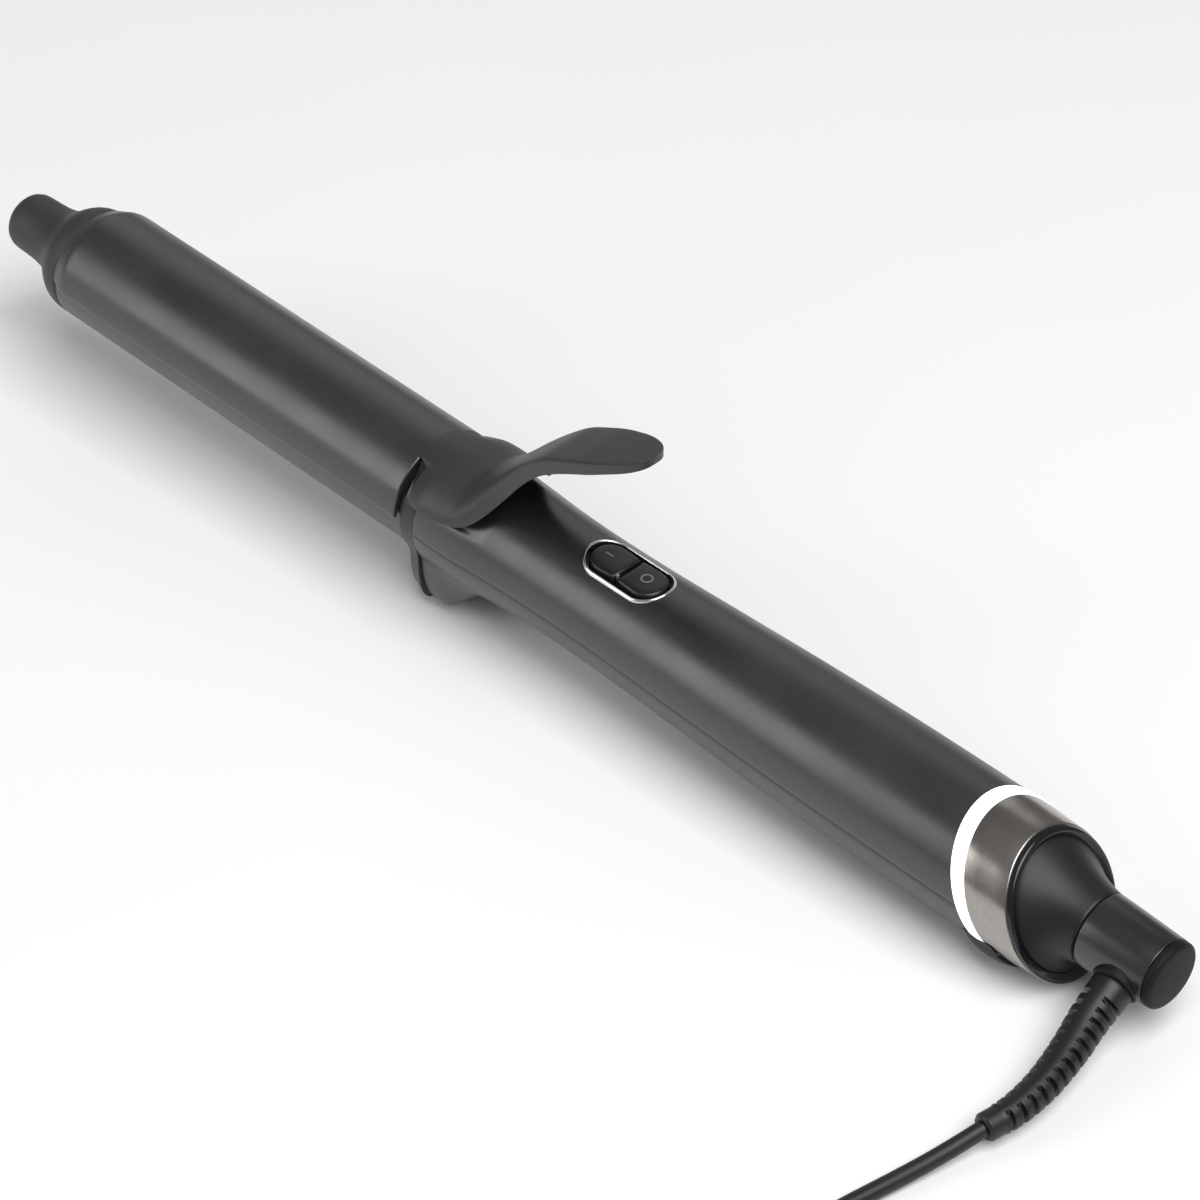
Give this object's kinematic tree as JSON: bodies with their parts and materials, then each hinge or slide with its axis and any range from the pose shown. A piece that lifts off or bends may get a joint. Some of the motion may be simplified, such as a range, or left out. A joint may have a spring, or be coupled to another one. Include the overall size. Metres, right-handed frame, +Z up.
{
  "type": "curling iron",
  "caption": "Round-barrel curling iron with a sprung clamp, thumb lever, resting stand, button pair, light ring and a mains cord on a swivel, cord put away in a tied coil.",
  "frame": {"origin": "middle of the iron's footprint, on the surface it rests on", "axes": "+X from the cool tip towards the cord end, +Z up, the cord leaves the swivel towards -Y"},
  "size_m": [0.4151, 0.1619, 0.0694],
  "materials": {
    "barrel_coating": "satin black heat-proof coating",
    "tip_plastic": "fine matt",
    "body_plastic": "satin matt charcoal",
    "lever_plastic": "matt black",
    "gloss_black": "glossy black",
    "soft_black": "soft matt black",
    "chrome_trim": "polished",
    "button_plastic": "fine matt",
    "light_diffuser": "milky white, lit from inside",
    "brushed_band": "warm grey, brushed round the band",
    "steel": "plain",
    "aluminium": "plain",
    "ceramic": "white ceramic",
    "wire_sleeve": "glass-fibre sleeve",
    "inner_plastic": "heat-proof moulding",
    "board": "green board",
    "brass": "plain",
    "cord_skin": "satin black",
    "tie": "woven strap"
  },
  "bodies": {
    "handle": {"cool_tip": "tip_plastic", "barrel": "barrel_coating", "heat_spreader_upper": "aluminium", "heat_spreader_lower": "aluminium", "heater_plate": "ceramic", "thermistor": "ceramic", "thermal_fuse": "steel", "lead_live": "wire_sleeve", "lead_neutral": "wire_sleeve", "barrel_carrier": "inner_plastic", "front_collar": "gloss_black", "handle_upper": "body_plastic", "handle_lower": "body_plastic", "stand_pad": "soft_black", "torsion_spring": "steel", "switch_bezel": "chrome_trim", "switch_tray": "gloss_black", "indicator_pipe": "light_diffuser", "circuit_board": "board", "tact_switch_front": "inner_plastic", "tact_switch_rear": "inner_plastic", "mains_filter": "inner_plastic", "capacitor": "inner_plastic", "light_ring": "light_diffuser", "metal_band": "brushed_band", "rear_rim": "gloss_black", "end_cone": "body_plastic", "rear_foot": "soft_black", "contact_brush_1": "brass", "contact_brush_2": "brass", "case_screw_1": "steel", "case_screw_2": "steel"},
    "clamp": {"clamp_blade": "barrel_coating", "lever": "lever_plastic", "rivet_left": "steel", "rivet_right": "steel", "hinge_pin": "steel"},
    "temperature_key": {"button_temperature": "button_plastic"},
    "power_key": {"button_power": "button_plastic"},
    "cord_swivel": {"swivel_body": "lever_plastic", "swivel_cap": "lever_plastic", "swivel_retainer": "inner_plastic", "contact_ring_1": "brass", "contact_ring_2": "brass", "strain_relief": "cord_skin", "cord_tube": "cord_skin", "cord_coil": "cord_skin", "cord_tail": "cord_skin", "cord_tie": "tie", "plug_body": "gloss_black", "plug_pin_1": "brass", "plug_pin_2": "brass"}
  },
  "joints": [
    {"name": "clamp_hinge", "type": "hinge", "parent": "handle", "child": "clamp", "pos_m": [-0.01569, 0, 0.03293], "axis": [0, 1, 0], "range_deg": [0, 24], "stiffness_Nm_per_rad": 0.12, "springref_deg": -34.38},
    {"name": "temperature_press", "type": "slide", "parent": "handle", "child": "temperature_key", "axis": [-0.0452, 0, -0.999], "range_m": [0, 0.0005], "stiffness_N_per_m": 800, "springref_m": -0.0015},
    {"name": "power_press", "type": "slide", "parent": "handle", "child": "power_key", "axis": [-0.0452, 0, -0.999], "range_m": [0, 0.0005], "stiffness_N_per_m": 800, "springref_m": -0.0015},
    {"name": "cord_turn", "type": "hinge", "parent": "handle", "child": "cord_swivel", "pos_m": [0.1647, 0, 0.01526], "axis": [0.999, 0, -0.0452], "continuous": true}
  ]
}
